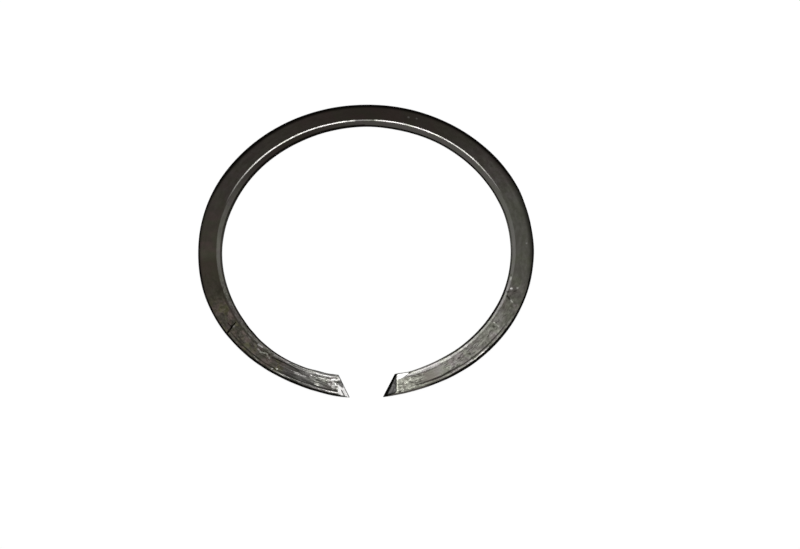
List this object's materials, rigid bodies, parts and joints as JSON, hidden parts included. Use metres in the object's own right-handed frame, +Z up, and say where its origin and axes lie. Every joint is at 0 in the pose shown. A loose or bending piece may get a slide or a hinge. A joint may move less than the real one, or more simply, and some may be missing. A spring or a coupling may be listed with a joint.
{
  "type": "circlip retaining ring",
  "caption": "Open flat ring of dark spring steel with a bevelled seat and ramped ends, which snaps into a groove round a shaft.",
  "frame": {"origin": "on the axis of the ring's outside, in the plane of its lower face", "axes": "+Z up along the ring's axis, away from the lower face; the gap between the ends is centred on -Y"},
  "size_m": [0.104, 0.1037, 0.0015],
  "materials": {
    "spring_steel": "dark oxide, worn bright along the edges and at the ends"
  },
  "bodies": {
    "root": {"retaining_ring": "spring_steel"}
  },
  "joints": []
}
